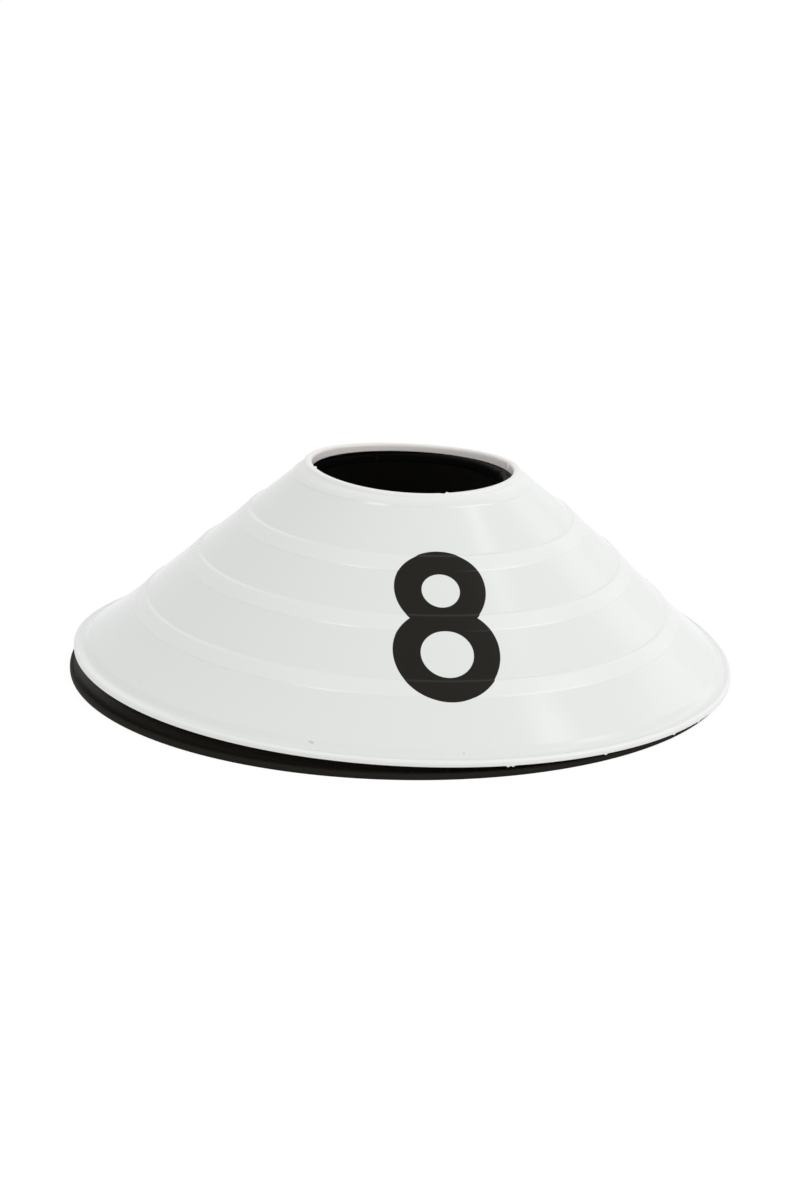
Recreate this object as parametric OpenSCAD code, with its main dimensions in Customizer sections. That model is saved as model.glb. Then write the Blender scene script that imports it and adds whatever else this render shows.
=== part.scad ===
// Two disc markers of one moulding: a white one dropped over a black one.
// Each is a hollow cone with an open neck, raised rings, a wide brim and a beaded rim.
// Origin: centre of the black disc's rim, on the ground. +Z is up, the view from the front is along +Y.

/* [Disc] */
// Diameter of the rim on the ground
rim_d = 200; // [180:1:240]
// Height of one disc, from the ground to the top of its neck
disc_h = 58.4; // [54:0.2:70]
// Wall of the cone and the brim
wall = 1.2; // [0.9:0.1:1.6]

/* [Neck] */
// Bore of the neck
bore_d = 60.4; // [50:0.2:66]
// Width of the lip at the top of the neck
lip_w = 2.3; // [2:0.1:3]
// Rounding of the lip's two edges
lip_round = 0.9; // [0.5:0.1:1]
// Height of the lip's straight inner wall, with its rounding
lip_h = 3; // [2:0.1:4]
// Thickness of the neck's tube inside the lip
neck_wall = 1.2; // [0.9:0.1:1.8]
// Drop from the top of the lip to the start of the cone
lip_drop = 1.1; // [1.05:0.05:2]
// Lean of the lip's outer edge over that drop
lip_lean = 0.1; // [0.05:0.05:0.3]
// Width of the collar band round the lip
collar_w = 3.4; // [2:0.2:5]
// Height of the step at the collar's outer edge
collar_rise = 0.25; // [0.1:0.05:0.4]

/* [Cone rings] */
// Height of the sloping face of a raised ring
ring_h = 3.3; // [2:0.1:4]
// How far a ring stands out from the cone at its top edge
ring_rise = 0.7; // [0.3:0.1:1]
// Height of the ledge on top of a ring
ledge_h = 0.25; // [0.1:0.05:0.6]
// From the lowest ring's foot in to the middle ring's foot
low_gap = 15.6; // [10:0.2:18]
// From the middle ring's foot in to the highest ring's foot
high_gap = 14.6; // [10:0.2:18]

/* [Brim] */
// Width of the brim, from the cone's foot to the outside of the rim
brim_w = 17.8; // [12:0.2:26]
// Height of the cone's foot over the ground
foot_h = 13.4; // [10:0.2:16]

/* [Rim] */
// Width of the flat band at the rim
band_w = 4.7; // [4:0.1:7]
// Height of the crease where the brim meets that band
crease_h = 3.6; // [3.2:0.1:5]
// From the outside of the rim in to the bottom of its groove
groove_w = 2.7; // [2.2:0.1:3.4]
// Height of the groove's bottom
groove_h = 1.8; // [1.65:0.05:1.9]
// Height of the bead round the outside
bead_h = 2; // [1.95:0.05:2.4]
// Rounding of the bead
bead_round = 1; // [0.6:0.1:1.2]
// Thickness of the rim where it stands on the ground
skirt = 0.9; // [0.8:0.1:1.2]
// Thickness of the rim's top, under the groove and the bead
band_wall = 0.7; // [0.6:0.05:0.9]

/* [Stack] */
// Tilt of the white disc, down on the right, in degrees
nest_tilt = 1.7; // [0:0.1:3]
// Shift of the white disc to the right
nest_shift = 1.3; // [0:0.1:2]
// Clearance between the two discs where they nearly touch
seat_gap = 0.2; // [0.15:0.05:1]

/* [Hidden] */
$fn = 180;

rim_r = rim_d / 2;
bore_r = bore_d / 2;
lip_r = bore_r + lip_w;
neck_r = bore_r + neck_wall;
collar_r = lip_r + collar_w;
foot_r = rim_r - brim_w;
crease_r = rim_r - band_w;
groove_r = rim_r - groove_w;

// The cone is a straight line from the lip's outer edge down to its foot.
cone_top_r = lip_r + lip_lean;
cone_top_h = disc_h - lip_drop;
cone_slope = (cone_top_h - foot_h) / (foot_r - cone_top_r);
brim_slope = (foot_h - crease_h) / (crease_r - foot_r);
function cone_h(r) = foot_h + (foot_r - r) * cone_slope;
function cone_r(h) = foot_r - (h - foot_h) / cone_slope;

// Steps across the wall, square to the cone, to the brim and halfway between them.
cone_step = [sin(atan(cone_slope)), cos(atan(cone_slope))] * wall;
brim_step = [sin(atan(brim_slope)), cos(atan(brim_slope))] * wall;
foot_step = (cone_step + brim_step) / 2;

// Feet of the rings: the highest, the middle one and the lowest, which ends the cone.
high_ring_r = foot_r - low_gap - high_gap;
middle_ring_r = foot_r - low_gap;

arc_step = 15;
function reversed(list) = [for (i = [len(list) - 1:-1:0]) list[i]];

// Points of an arc about a centre, clockwise, between two angles.
function arc(centre, radius, from, to) =
    [for (a = [from:-arc_step:to]) centre + radius * [cos(a), sin(a)]];

// A raised ring whose foot has radius r: its ledge, its top edge and its foot.
function ring(r) =
    let (foot = cone_h(r), edge = foot + ring_h, ledge = edge + ledge_h)
    [[cone_r(ledge), ledge], [cone_r(edge) + ring_rise, edge], [r, foot]];

// The same ring on the underside, one wall further in.
function under_ring(r, at_foot) =
    let (points = ring(r))
    [points[0] - cone_step, points[1] - cone_step, points[2] - at_foot];

// Top of a disc, from the bore's edge out to the side of the rim.
top_line = concat(
    arc([bore_r + lip_round, disc_h - lip_round], lip_round, 180, 90),
    arc([lip_r - lip_round, disc_h - lip_round], lip_round, 90, 0),
    [[cone_top_r, cone_top_h]],
    [[collar_r, cone_h(collar_r) + collar_rise], [collar_r + collar_rise, cone_h(collar_r + collar_rise)]],
    ring(high_ring_r),
    ring(middle_ring_r),
    ring(foot_r),
    [[crease_r, crease_h], [groove_r, groove_h]],
    arc([rim_r - bead_round, bead_h - bead_round], bead_round, 90, 0)
);

// Where the cone's inner face meets the neck's tube.
neck_foot_h = cone_h(neck_r + cone_step.x) - cone_step.y;

// Underside of a disc, from the bore out to the inside of the rim.
under_line = concat(
    [[bore_r, disc_h - lip_h], [neck_r, disc_h - lip_h], [neck_r, neck_foot_h]],
    under_ring(high_ring_r, cone_step),
    under_ring(middle_ring_r, cone_step),
    under_ring(foot_r, foot_step),
    [[crease_r, crease_h] - brim_step, [groove_r, groove_h - band_wall]],
    [[rim_r - skirt, bead_h - band_wall], [rim_r - skirt, 0]]
);

module disc() {
    rotate_extrude() polygon(concat(top_line, [[rim_r, 0]], reversed(under_line)));
}

// The white disc is lowered until its underside would touch the black disc's top anywhere.
probe_step = 0.2;
probe_turn = 2;
probe_points = [
    for (i = [0:len(under_line) - 2])
        let (from = under_line[i], to = under_line[i + 1], parts = ceil(norm(to - from) / probe_step))
        for (k = [0:parts]) from + (to - from) * k / parts
];

// A point of the underside, turned about the axis, then tilted and shifted.
function nested(point, turn) = [
    point.x * cos(turn) * cos(nest_tilt) + point.y * sin(nest_tilt) + nest_shift,
    point.x * sin(turn),
    point.y * cos(nest_tilt) - point.x * cos(turn) * sin(nest_tilt)
];

// Lift that this point needs to clear the black disc's top below it.
function lift_over(point) =
    let (r = norm([point.x, point.y]))
    r < bore_r || r > rim_r ? 0 : lookup(r, top_line) - point.z;

seat_lift = max([
    for (turn = [0:probe_turn:180]) for (point = probe_points) lift_over(nested(point, turn))
]) + seat_gap;

module black_cone() {
    color("#1b1817") disc();
}

module white_cone() {
    color("#e6e8e4") translate([nest_shift, 0, seat_lift]) rotate([0, nest_tilt, 0]) disc();
}

black_cone();
white_cone();
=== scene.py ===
import math

import bpy
import numpy as np
from mathutils import Matrix, Vector


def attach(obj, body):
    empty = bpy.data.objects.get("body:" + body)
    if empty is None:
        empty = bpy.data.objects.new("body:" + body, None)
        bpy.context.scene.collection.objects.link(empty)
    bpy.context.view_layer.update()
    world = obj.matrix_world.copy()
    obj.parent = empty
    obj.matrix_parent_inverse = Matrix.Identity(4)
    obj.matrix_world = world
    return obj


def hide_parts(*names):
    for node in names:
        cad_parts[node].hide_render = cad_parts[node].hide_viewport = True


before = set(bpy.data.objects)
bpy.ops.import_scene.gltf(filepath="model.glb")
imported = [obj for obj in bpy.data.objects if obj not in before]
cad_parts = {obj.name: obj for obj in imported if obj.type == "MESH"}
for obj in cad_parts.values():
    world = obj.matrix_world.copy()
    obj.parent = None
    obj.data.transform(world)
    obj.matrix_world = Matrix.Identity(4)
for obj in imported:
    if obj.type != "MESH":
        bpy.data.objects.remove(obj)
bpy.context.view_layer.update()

# Camera
# A long lens at the height of a low table, pitched down on the stack and rolled a little.
# Its distances are in metres and its angles in degrees.
camera_pitch = 17.02
camera_roll = 1.28
camera_away = 0.700
camera_over = 0.0186
camera_left = 0.0001
camera_lens = 68.3
camera_film = 36

pitch = math.radians(camera_pitch)
roll = math.radians(camera_roll)
ahead = Vector((0, math.cos(pitch), -math.sin(pitch)))
right = Vector((1, 0, 0))
above = Vector((0, math.sin(pitch), math.cos(pitch)))
side_axis = right * math.cos(roll) + above * math.sin(roll)
top_axis = above * math.cos(roll) - right * math.sin(roll)
camera = bpy.data.objects.new("camera", bpy.data.cameras.new("camera"))
camera.data.lens = camera_lens
camera.data.sensor_width = camera_film
camera.matrix_world = Matrix.Translation(
    above * camera_over - ahead * camera_away + right * camera_left
) @ Matrix((side_axis, top_axis, -ahead)).transposed().to_4x4()
bpy.context.scene.collection.objects.link(camera)
bpy.context.scene.camera = camera

# Black cone
# The lower marker: one injection moulding of black polyethylene, a thin hollow cone with
# an open neck, three raised rings, a brim and a beaded rim. It stands on its rim.

# Sizes in millimetres, here and below. Angles are in degrees, from the front to the right.
MM = 0.001
rim_r = 99.965
disc_h = 58.38
wall = 1.2
bore_r = 30.2
lip_r = 32.5
lip_h = 3.0
lip_round = 0.9
neck_r = 31.4
cone_top = np.array([32.6, 57.28])
collar_w = 3.4
collar_rise = 0.25
collar_drop = 4.1
foot = np.array([82.2, 13.4])
ring_feet = (52.0, 66.6, 82.2)
ring_h = 3.3
ring_rise = 0.7
ring_round = 1.2
ledge_h = 0.25
foot_rise = 0.12
foot_run = 0.36
brim_sag = 0.25
brim_round = 130
crease = np.array([95.3, 3.6])
groove = np.array([97.3, 1.8])
groove_round = 3.0
bead_h = 2.0
bead_w = 0.6
bead_drop = 0.5
rim_sink = 0.25
skirt = 0.9
band_wall = 0.7
under_round = 0.3
sharp = 0.2
cone_slope = (cone_top[1] - foot[1]) / (foot[0] - cone_top[0])


def outline():
    """Closed outline of the moulding as corners (radius, height, rounding), in millimetres.

    The top runs out from the bore: lip, collar, cone with its rings, brim, groove and bead.
    Each ring ends in a foot that stands a little proud of the cone, and the brim sags a little.
    The underside runs back one wall further in, which each step takes square to the cone."""
    brim_slope = (foot[1] - crease[1]) / (crease[0] - foot[0])
    cone_step = wall * np.array([cone_slope, 1]) / math.hypot(cone_slope, 1)
    brim_step = wall * np.array([brim_slope, 1]) / math.hypot(brim_slope, 1)

    def height(r):
        """Height of the cone's straight line over a radius: up from its foot by the slope."""
        return foot[1] + (foot[0] - r) * cone_slope

    def ring(r):
        """A ring whose foot has radius r: its ledge and foot on the cone, its top edge off it."""
        edge = height(r) + ring_h
        ledge = edge + ledge_h
        return np.array([
            [foot[0] - (ledge - foot[1]) / cone_slope, ledge],
            [foot[0] - (edge - foot[1]) / cone_slope + ring_rise, edge],
            [r, height(r)],
        ])

    def proud_ring(r):
        """The ring with its foot moved square off the cone, and a corner further down the cone."""
        square = cone_step / wall
        down = np.array([square[1], -square[0]])
        ledge, edge, low = ring(r)
        return np.array([
            [*ledge, ring_round], [*edge, ring_round],
            [*(low + foot_rise * square), 0.9], [*(low + foot_run * down), sharp],
        ])

    collar = lip_r + collar_w
    rings = np.concatenate([ring(r) for r in ring_feet])
    steps = np.array([cone_step] * 8 + [(cone_step + brim_step) / 2])
    neck_foot = height(neck_r + cone_step[0]) - cone_step[1]
    bead_top = bead_h - rim_sink
    top = [
        (bore_r, disc_h, lip_round), (lip_r, disc_h, lip_round), (*cone_top, 0.4),
        (collar, height(collar) + collar_rise, sharp),
        (collar + collar_rise, height(collar + collar_rise), sharp),
        *np.concatenate([proud_ring(r) for r in ring_feet]),
        (*((foot + crease) / 2 - brim_sag * brim_step / wall), brim_round),
        (*crease, 0.8), (groove[0], groove[1] - rim_sink, groove_round),
        (rim_r - bead_w, bead_top, 0.9), (rim_r, bead_top - bead_drop, 0.7), (rim_r, 0, sharp),
    ]
    under = [
        (bore_r, disc_h - lip_h, 0.15), (neck_r, disc_h - lip_h, 0.15), (neck_r, neck_foot, under_round),
        *np.column_stack([rings - steps, np.full(len(rings), under_round)]),
        (*(crease - brim_step), 0.5), (groove[0], groove[1] - band_wall, 0.4),
        (rim_r - skirt, bead_h - band_wall, under_round), (rim_r - skirt, 0, sharp),
    ]
    return np.array(top + under[::-1], float)


def rounded(corners, arc_points=4, spacing=5.0, guard=0.3, most=0.8):
    """The closed outline with every corner rounded, and points along its straight stretches.

    Each corner is a parabola that leaves its sides at the rounding's tangent points, and takes
    no more than a given share of its shorter side."""
    point, radius = corners[:, :2], corners[:, 2]
    back = np.roll(point, 1, 0) - point
    on = np.roll(point, -1, 0) - point
    back_length = np.linalg.norm(back, axis=1)
    on_length = np.linalg.norm(on, axis=1)
    back, on = back / back_length[:, None], on / on_length[:, None]
    half = np.arccos(np.clip((back * on).sum(1), -1, 1)) / 2
    reach = np.minimum(radius / np.tan(half), most * np.minimum(back_length, on_length))
    t = np.linspace(0, 1, arc_points)[None, :, None]
    start, end = point + back * reach[:, None], point + on * reach[:, None]
    arcs = (1 - t) ** 2 * start[:, None] + 2 * t * (1 - t) * point[:, None] + t ** 2 * end[:, None]
    line = arcs.reshape(-1, 2)
    line = np.concatenate([line, line[:1]])
    along = np.concatenate([[0], np.cumsum(np.linalg.norm(np.diff(line, axis=0), axis=1))])
    wide = np.diff(along) > 3 * guard
    supports = np.concatenate([along[:-1][wide] + guard, along[1:][wide] - guard])
    regular = np.arange(0, along[-1], spacing)
    nearest = np.abs(regular[:, None] - np.concatenate([along, supports])[None, :]).min(1)
    places = np.unique(np.concatenate([along[:-1], supports, regular[nearest > 2 * guard]]))
    return np.column_stack([np.interp(places, along, line[:, i]) for i in (0, 1)])


def on_stretch(r, z, start, end, near=0.2):
    """1 near a straight stretch of the outline and 0 elsewhere, by the distance to it in mm."""
    start, end = np.array(start), np.array(end)
    run = end - start
    share = np.clip(((r - start[0]) * run[0] + (z - start[1]) * run[1]) / (run @ run), 0, 1)
    away = np.hypot(r - start[0] - share * run[0], z - start[1] - share * run[1])
    return (away < near).astype(float)


def bell(angle, centre, width):
    """exp(-(turn / width) squared), by the turn in degrees from the centre, the shorter way."""
    off = (np.degrees(angle) - centre + 180) % 360 - 180
    return np.exp(-(off / width) ** 2)


def moulding(name, seed, gates, spurs, warp=None, steps_round=312):
    """A disc as a lathe of its outline: x = r sin a, y = -r cos a, with a from the front.

    The wall is out of true by slow sine waves. Each gate leaves a notch in the lip's inner
    edge and a tooth beside it, moved outward and down by bells in angle. Each spur of flash
    hangs from the outside of the rim by a narrower bell. A warp gives more of both moves,
    outward and up. The attribute for matt bands and painted light is 1 on the lip and on the
    rim's edge, 0.75 on the collar, 0.5 on the faces of the rings and 0 elsewhere. It makes
    these bands rougher, and on the white disc it also paints them paler: painted light for
    the brighter light that these faces and edges catch."""
    notch_depth, notch_width = 0.45, 1.1
    tooth_depth, tooth_width, tooth_turn = 0.35, 0.6, 2.4
    spur_length, spur_width = 0.45, 0.25
    profile = rounded(outline())
    r, z = profile[:, :1], profile[:, 1:]
    marks = np.radians(np.concatenate([
        (np.array(gates)[:, None] + np.linspace(-2, 3, 16)).ravel(),
        (np.array(spurs)[:, None] + np.linspace(-0.4, 0.4, 5)).ravel(),
    ]))
    regular = np.linspace(0, 2 * math.pi, steps_round, endpoint=False)
    a = np.unique(np.round((np.concatenate([regular, marks]) + 2 * math.pi) % (2 * math.pi), 5))[None, :]

    def pull(places, width):
        """Sum of the bells about some places."""
        return bell(a[..., None], np.array(places), width).sum(-1)

    inner_edge = np.exp(-((r - bore_r) ** 2 + (z - disc_h + 0.4) ** 2) / 0.8 ** 2)
    outer_foot = np.exp(-((r - rim_r) ** 2 + z ** 2) / 0.35 ** 2)
    teeth = np.array(gates) + tooth_turn
    notch = notch_depth * pull(gates, notch_width) - tooth_depth * pull(teeth, tooth_width)
    wave = 0.05 * np.sin(3 * a + seed + r / 31) + 0.03 * np.sin(7 * a + 2 * seed - z / 9)
    out = r + inner_edge * notch + wave * (r < rim_r - 2) * (r > lip_r + 1)
    up = z - spur_length * outer_foot * pull(spurs, spur_width) - inner_edge * notch
    if warp is not None:
        more_out, more_up = warp(r, z, a)
        out, up = out + more_out, up + more_up
    place = np.stack([out * np.sin(a), -out * np.cos(a), up], -1) * MM
    rows, columns = place.shape[:2]
    i, j = np.meshgrid(np.arange(rows), np.arange(columns), indexing="ij")
    i2, j2 = (i + 1) % rows, (j + 1) % columns
    quads = np.stack([i * columns + j, i2 * columns + j, i2 * columns + j2, i * columns + j2], -1)
    mesh = bpy.data.meshes.new(name)
    mesh.from_pydata(place.reshape(-1, 3).tolist(), [], quads.reshape(-1, 4).tolist())
    mesh.polygons.foreach_set("use_smooth", np.ones(len(mesh.polygons), bool))

    matt_and_painted_light = 0.75 * on_stretch(r, z, cone_top, (lip_r + collar_w, disc_h - collar_drop))
    matt_and_painted_light = matt_and_painted_light + (z > cone_top[1] - 0.3) + (r > rim_r - 1)
    for ring_r in ring_feet:
        low = foot[1] + (foot[0] - ring_r) * cone_slope
        face_top = (ring_r - ring_h / cone_slope + ring_rise, low + ring_h)
        matt_and_painted_light = matt_and_painted_light + 0.5 * on_stretch(r, z, face_top, (ring_r, low))
    matt_and_painted_light = np.clip(matt_and_painted_light + 0 * a, 0, 1)
    mesh.attributes.new("matt_and_painted_light", "FLOAT", "POINT").data.foreach_set("value", matt_and_painted_light.ravel())
    piece = bpy.data.objects.new(name, mesh)
    bpy.context.scene.collection.objects.link(piece)
    return piece


def add(tree, kind, **inputs):
    """A new shader node, with its inputs set or linked by name; _ in a name stands for a space."""
    made = tree.nodes.new(kind)
    for key, value in inputs.items():
        name = key.replace("_", " ")
        if name in made.inputs:
            if isinstance(value, bpy.types.NodeSocket):
                tree.links.new(value, made.inputs[name])
            else:
                made.inputs[name].default_value = value
        else:
            setattr(made, key, value)
    return made


def plastic(name, roughness, grain):
    """Moulded polyethylene: a fine grain, a slow unevenness in its gloss, and matt bands.

    Its roughness is a noise about the given one, plus a fifth of the attribute for matt bands
    and painted light, which it also returns for the white plastic's painted paler tone."""
    uneven = 0.02
    matt_roughness = 0.20
    grain_depth = 0.02
    material = bpy.data.materials.new(name)
    material.use_nodes = True
    tree = material.node_tree
    surface = tree.nodes["Principled BSDF"]
    place = add(tree, "ShaderNodeTexCoord").outputs["Object"]
    slow = add(tree, "ShaderNodeTexNoise", Vector=place, Scale=420.0, Detail=2.0)
    fine = add(tree, "ShaderNodeTexNoise", Vector=place, Scale=1400.0, Detail=2.0)
    matt_and_painted_light = add(tree, "ShaderNodeAttribute", attribute_name="matt_and_painted_light").outputs["Fac"]
    gloss = add(tree, "ShaderNodeMapRange", Value=slow.outputs["Fac"])
    gloss.inputs["To Min"].default_value = roughness - uneven
    gloss.inputs["To Max"].default_value = roughness + uneven
    rougher = add(tree, "ShaderNodeMath", operation="MULTIPLY_ADD")
    tree.links.new(matt_and_painted_light, rougher.inputs[0])
    rougher.inputs[1].default_value = matt_roughness
    tree.links.new(gloss.outputs["Result"], rougher.inputs[2])
    tree.links.new(rougher.outputs[0], surface.inputs["Roughness"])
    bump = add(tree, "ShaderNodeBump", Height=fine.outputs["Fac"], Strength=grain,
               Distance=grain_depth * MM)
    tree.links.new(bump.outputs["Normal"], surface.inputs["Normal"])
    return material, tree, surface, place, slow, matt_and_painted_light


def blend(tree, factor, first, second):
    """A mix of two colours, each a socket or plain numbers, by a factor's socket."""
    made = add(tree, "ShaderNodeMix", data_type="RGBA")
    tree.links.new(factor, made.inputs["Factor"])
    for name, value in (("A", first), ("B", second)):
        if isinstance(value, bpy.types.NodeSocket):
            tree.links.new(value, made.inputs[name])
        else:
            made.inputs[name].default_value = (*value, 1)
    return made.outputs["Result"]


def seen_from_above(tree, place):
    """A place with its height left out: x, y and 0."""
    flat = add(tree, "ShaderNodeVectorMath", operation="MULTIPLY")
    tree.links.new(place, flat.inputs[0])
    flat.inputs[1].default_value = (1, 1, 0)
    return flat.outputs[0]


def by_radius(tree, place, inner, outer):
    """0 within the inner radius and 1 beyond the outer, by the distance from the axis in mm."""
    away = add(tree, "ShaderNodeVectorMath", operation="LENGTH")
    tree.links.new(seen_from_above(tree, place), away.inputs[0])
    share = add(tree, "ShaderNodeMapRange", Value=away.outputs["Value"])
    share.inputs["From Min"].default_value = inner * MM
    share.inputs["From Max"].default_value = outer * MM
    return share.outputs["Result"]


black_dark = (0.0150, 0.0130, 0.0104)
black_pale = (0.0180, 0.0156, 0.0124)
# Painted shade: the inside of the neck, out to a little past the bore, is painted near-black for the shade
# down the hole.
black_bore_painted_shade = (0.0012, 0.0012, 0.0014)
black_shade_edge = (bore_r + 0.2, bore_r + 1.2)

black_plastic, tree, surface, place, slow, _ = plastic("black_plastic", roughness=0.42, grain=0.25)
surface.inputs["Specular IOR Level"].default_value = 0.05
tint = blend(tree, slow.outputs["Fac"], black_dark, black_pale)
# Painted shade: near-black inside the neck, for the shade down the hole.
tint = blend(tree, by_radius(tree, place, *black_shade_edge), black_bore_painted_shade, tint)
tree.links.new(tint, surface.inputs["Base Color"])

black = moulding("black_disc", seed=0.7, gates=(15, 105, 195, 285), spurs=())
black.data.materials.append(black_plastic)
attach(black, "lower_cone")
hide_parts("black_cone")

# White cone
# The upper marker, the same moulding in white polyethylene, dropped over the black one. It
# hangs lower on the right, where its rim has slipped over the black rim.
nest_tilt = 1.7
nest_shift = 1.3
nest_lift = 3.952


def sprung(r, z, a):
    """Moves (outward, up) of a disc that has sprung out of true, as sums of bells in angle.

    The lip sags at the front and back by the square of the cosine. The flank behind on the
    right bulges by a half sine along the slope. Behind, the rim rises on the right and
    drops on the left."""
    flank_out, flank_up = 1.85, 2.1
    rim_up, rim_down = 2.3, 2.2

    def rise(value, start, end):
        """Smooth step: 0 up to the start, 1 from the end, share squared times (3 - 2 share)."""
        share = np.clip((value - start) / (end - start), 0, 1)
        return share * share * (3 - 2 * share)

    flank = np.sin(math.pi * np.clip((r - 33) / 65, 0, 1)) * bell(a, 120, 36)
    rim = rise(r, 70, 96) * (rim_up * bell(a, 130, 27) - rim_down * bell(a, 242, 22))
    lip = (1 - rise(r, lip_r, lip_r + collar_w)) * (0.5 + 0.7 * rise(z, disc_h - lip_h, disc_h - lip_round))
    return flank_out * flank, flank_up * flank + rim - lip * np.cos(a) ** 2


white = moulding("white_disc", seed=2.1, gates=(16.5, 106.5, 286.5),
                 spurs=(16.7, 17.5, 34, 50, 58, 131, 258), warp=sprung)
lean = Matrix.Rotation(math.radians(nest_tilt), 4, "Y")
white.data.transform(Matrix.Translation(Vector((nest_shift, 0, nest_lift)) * MM) @ lean)

white_dark = (0.769, 0.787, 0.771)
white_pale = (0.772, 0.790, 0.774)
# Painted light: this paler colour goes on the lip, collar, ring faces and rim's edge, for the brighter
# light and highlight they catch.
white_painted_light = (0.830, 0.842, 0.826)
# Painted light: a warm, paler tone on the lip's inner wall, for light that shines through the translucent
# lip.
white_bore_painted_glow = (0.870, 0.834, 0.800)
white_glow_edge = (bore_r + 0.3, bore_r + 1.0)

white_plastic, tree, surface, place, slow, matt_and_painted_light = plastic("white_plastic", roughness=0.20, grain=0.04)
own = add(tree, "ShaderNodeMapping", vector_type="TEXTURE", Vector=place,
          Location=(nest_shift * MM, 0, nest_lift * MM),
          Rotation=(0, math.radians(nest_tilt), 0)).outputs["Vector"]

# Flecks of dirt on the brim, each by its angle from the front, its radius and its size in mm.
flecks = ((-14.85, 95.9, 0.30), (-14.5, 96.0, 0.34), (-14.2, 96.0, 0.22),
          (-52.6, 93.6, 0.22), (10.0, 96.2, 0.25), (14.8, 93.6, 0.16))
fleck_color = (0.40, 0.40, 0.36)
fleck_strength = 0.5


def maths(operation, first, second=0.0):
    """A math node's result; first and second are sockets or numbers."""
    made = tree.nodes.new("ShaderNodeMath")
    made.operation = operation
    for slot_number, value in enumerate((first, second)):
        if isinstance(value, bpy.types.NodeSocket):
            tree.links.new(value, made.inputs[slot_number])
        else:
            made.inputs[slot_number].default_value = value
    return made.outputs[0]


def fleck(level, angle, radius, size):
    """1 within a fleck and 0 outside, fading over the last fifth of its size, seen from above."""
    turn = math.radians(angle)
    near = add(tree, "ShaderNodeVectorMath", operation="DISTANCE")
    tree.links.new(level, near.inputs[0])
    near.inputs[1].default_value = Vector((math.sin(turn), -math.cos(turn), 0)) * radius * MM
    mask = add(tree, "ShaderNodeMapRange", Value=near.outputs["Value"])
    mask.inputs["From Min"].default_value = size * MM
    mask.inputs["From Max"].default_value = 0.8 * size * MM
    return mask.outputs["Result"]


level = seen_from_above(tree, own)
dirty = 0.0
for spot in flecks:
    dirty = maths("MAXIMUM", dirty, fleck(level, *spot))
bare = blend(tree, slow.outputs["Fac"], white_dark, white_pale)
# Painted light: the lip, collar, ring faces and rim's edge are painted paler for the brighter light they
# catch; the same attribute makes them rougher.
bare = blend(tree, matt_and_painted_light, bare, white_painted_light)
bare = blend(tree, maths("MULTIPLY", dirty, fleck_strength), bare, fleck_color)
# Painted light: the lip's inner wall is painted warmer and paler, for light shining through the lip.
bare = blend(tree, by_radius(tree, own, *white_glow_edge), white_bore_painted_glow, bare)
white.data.materials.append(white_plastic)
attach(white, "upper_cone")
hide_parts("white_cone")

# Printed number
# A plain numeral in black ink, printed on the front of the white cone a little to the
# right of the middle. It is two rings of ink, one over the other.

# Each ring of ink is its centre's way down the slope and the radius of its middle line.
number_turn = 9.2
ring_stroke = 7.6
lower_ring = (54.4, 11.2)
upper_ring = (34.0, 9.2)
ink_fade = 0.05
ink_color = (0.0070, 0.0055, 0.0030)
ink_specular = 0.18
bare_specular = 0.5
slope_scale = 1 / math.sin(math.atan2(cone_top[1] - foot[1], foot[0] - cone_top[0]))

facing = add(tree, "ShaderNodeMapping", vector_type="TEXTURE", Vector=own,
             Rotation=(0, 0, math.radians(number_turn)))
split = add(tree, "ShaderNodeSeparateXYZ", Vector=facing.outputs["Vector"])


def ink_ring(down, radius):
    """Distance in millimetres from the middle of a ring of ink whose centre is down the slope."""
    across = maths("MULTIPLY", split.outputs["X"], 1 / MM)
    below = maths("SUBTRACT", disc_h * MM, split.outputs["Z"])
    along = maths("SUBTRACT", maths("MULTIPLY", below, slope_scale / MM), down)
    flat = maths("SQRT", maths("ADD", maths("MULTIPLY", across, across), maths("MULTIPLY", along, along)))
    return maths("ABSOLUTE", maths("SUBTRACT", flat, radius))


distance = maths("MINIMUM", ink_ring(*lower_ring), ink_ring(*upper_ring))
front = maths("LESS_THAN", split.outputs["Y"], 0.0)
edge = add(tree, "ShaderNodeMapRange", Value=distance)
edge.inputs["From Min"].default_value = ring_stroke / 2 + ink_fade
edge.inputs["From Max"].default_value = ring_stroke / 2 - ink_fade
inked = maths("MULTIPLY", edge.outputs["Result"], front)
tree.links.new(blend(tree, inked, bare, ink_color), surface.inputs["Base Color"])
sheen = add(tree, "ShaderNodeMapRange", Value=inked)
sheen.inputs["To Min"].default_value = bare_specular
sheen.inputs["To Max"].default_value = ink_specular
tree.links.new(sheen.outputs["Result"], surface.inputs["Specular IOR Level"])

# Floor
# A wide sheet of pale matt paper that the stack stands on. The camera sees it white, with the
# stack's soft shadow on it, but for the round under the stack, which stays plain paper.
floor_radius = 12.0
floor_sides = 64
floor_color = (0.86, 0.86, 0.86, 1)
shown_white = 0.72
white_strength = 1.17
round_edge = 1.5


def seen_direct(tree):
    """1 for rays from the camera, a reflection or a transmission, and 0 for other rays."""
    ray = add(tree, "ShaderNodeLightPath")
    total = add(tree, "ShaderNodeMath", operation="ADD")
    tree.links.new(ray.outputs["Is Camera Ray"], total.inputs[0])
    tree.links.new(ray.outputs["Is Glossy Ray"], total.inputs[1])
    all_three = add(tree, "ShaderNodeMath", operation="ADD", use_clamp=True)
    tree.links.new(total.outputs[0], all_three.inputs[0])
    tree.links.new(ray.outputs["Is Transmission Ray"], all_three.inputs[1])
    return all_three.outputs[0]


def blend_shaders(tree, share, first, second, output):
    """Mixes two shaders by a share of the second and links them to the tree's output."""
    both = add(tree, "ShaderNodeMixShader")
    tree.links.new(share, both.inputs[0])
    tree.links.new(first.outputs[0], both.inputs[1])
    tree.links.new(second.outputs[0], both.inputs[2])
    tree.links.new(both.outputs[0], add(tree, output).inputs["Surface"])


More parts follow.
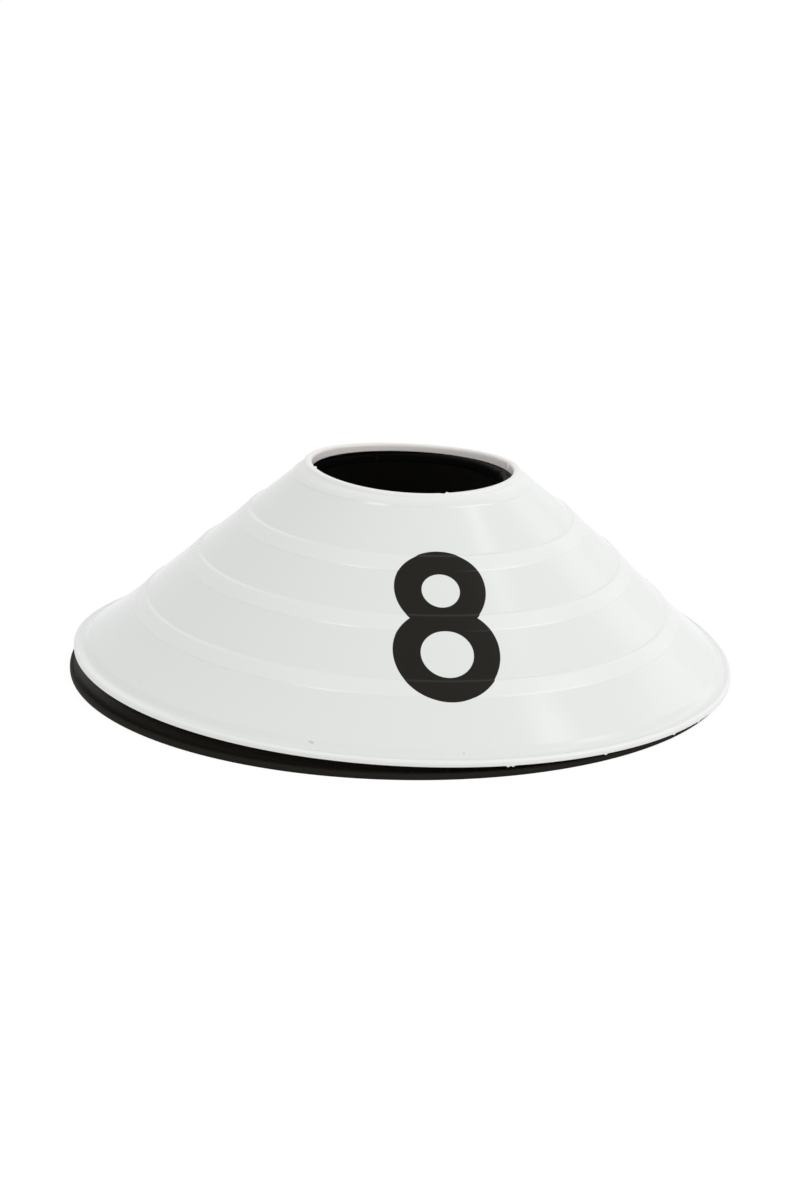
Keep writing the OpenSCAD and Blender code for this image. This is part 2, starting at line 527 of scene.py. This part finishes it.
corner = np.linspace(0, 2 * math.pi, floor_sides, endpoint=False)
edge_points = np.column_stack([np.cos(corner), np.sin(corner), 0 * corner]) * floor_radius
mesh = bpy.data.meshes.new("floor")
mesh.from_pydata(edge_points.tolist(), [], [list(range(floor_sides))])
floor = bpy.data.objects.new("floor", mesh)
bpy.context.scene.collection.objects.link(floor)
paper = bpy.data.materials.new("floor_paper")
paper.use_nodes = True
tree = paper.node_tree
tree.nodes.clear()
matte = add(tree, "ShaderNodeBsdfDiffuse", Color=floor_color)
bright = add(tree, "ShaderNodeEmission", Color=(1, 1, 1, 1), Strength=white_strength)
away = add(tree, "ShaderNodeVectorMath", operation="LENGTH")
tree.links.new(add(tree, "ShaderNodeTexCoord").outputs["Object"], away.inputs[0])
outside = add(tree, "ShaderNodeMapRange", Value=away.outputs["Value"])
outside.inputs["From Min"].default_value = (rim_r - round_edge) * MM
outside.inputs["From Max"].default_value = rim_r * MM
outside.inputs["To Max"].default_value = shown_white
share = add(tree, "ShaderNodeMath", operation="MULTIPLY")
tree.links.new(seen_direct(tree), share.inputs[0])
tree.links.new(outside.outputs["Result"], share.inputs[1])
blend_shaders(tree, share.outputs[0], matte, bright, "ShaderNodeOutputMaterial")
mesh.materials.append(paper)

# Light
# A pale studio round the stack. A small bright box stands in front on the left and a wide one
# on the right, a smaller one hangs overhead, and three weak ones stand behind.
studio_level = 0.685
studio = bpy.data.worlds.new("studio")
bpy.context.scene.world = studio
studio.use_nodes = True
tree = studio.node_tree
tree.nodes.clear()
around = add(tree, "ShaderNodeBackground", Color=(1, 1, 1, 1), Strength=studio_level)
seen = add(tree, "ShaderNodeBackground", Color=(1, 1, 1, 1), Strength=1.0)
blend_shaders(tree, seen_direct(tree), around, seen, "ShaderNodeOutputWorld")


def soft_box(name, toward, away, width, height, level):
    """A rectangular lamp that faces the stack from a direction, with its radiance in white levels.

    Its power is pi times its area times that level."""
    lamp = bpy.data.lights.new(name, "AREA")
    lamp.shape = "RECTANGLE"
    lamp.size, lamp.size_y = width, height
    lamp.energy = math.pi * width * height * level
    made = bpy.data.objects.new(name, lamp)
    spot = Vector(toward).normalized()
    made.location = spot * away
    made.rotation_mode = "QUATERNION"
    made.rotation_quaternion = spot.to_track_quat("Z", "Y")
    bpy.context.scene.collection.objects.link(made)


# Each lamp by its direction, its distance, its width and height in metres, and its level.
soft_box("left_key", (-0.416, -0.572, 0.707), 1.4, 0.4, 0.4, 5.0)
soft_box("right_key", (0.763, -0.313, 0.563), 1.4, 0.9, 0.6, 2.80)
soft_box("right_back_panel", (0.675, 0.605, 0.423), 1.45, 0.36, 1.05, 0.55)
soft_box("far_panel", (0.42, 0.80, 0.423), 1.45, 0.7, 1.05, 0.16)
soft_box("overhead_box", (0.507, 0.104, 0.856), 1.52, 0.3, 0.15, 2.6)
soft_box("back_box", (-0.2, 0.84, 0.50), 1.4, 0.6, 0.6, 0.3)

bpy.context.scene.view_settings.view_transform = "Standard"
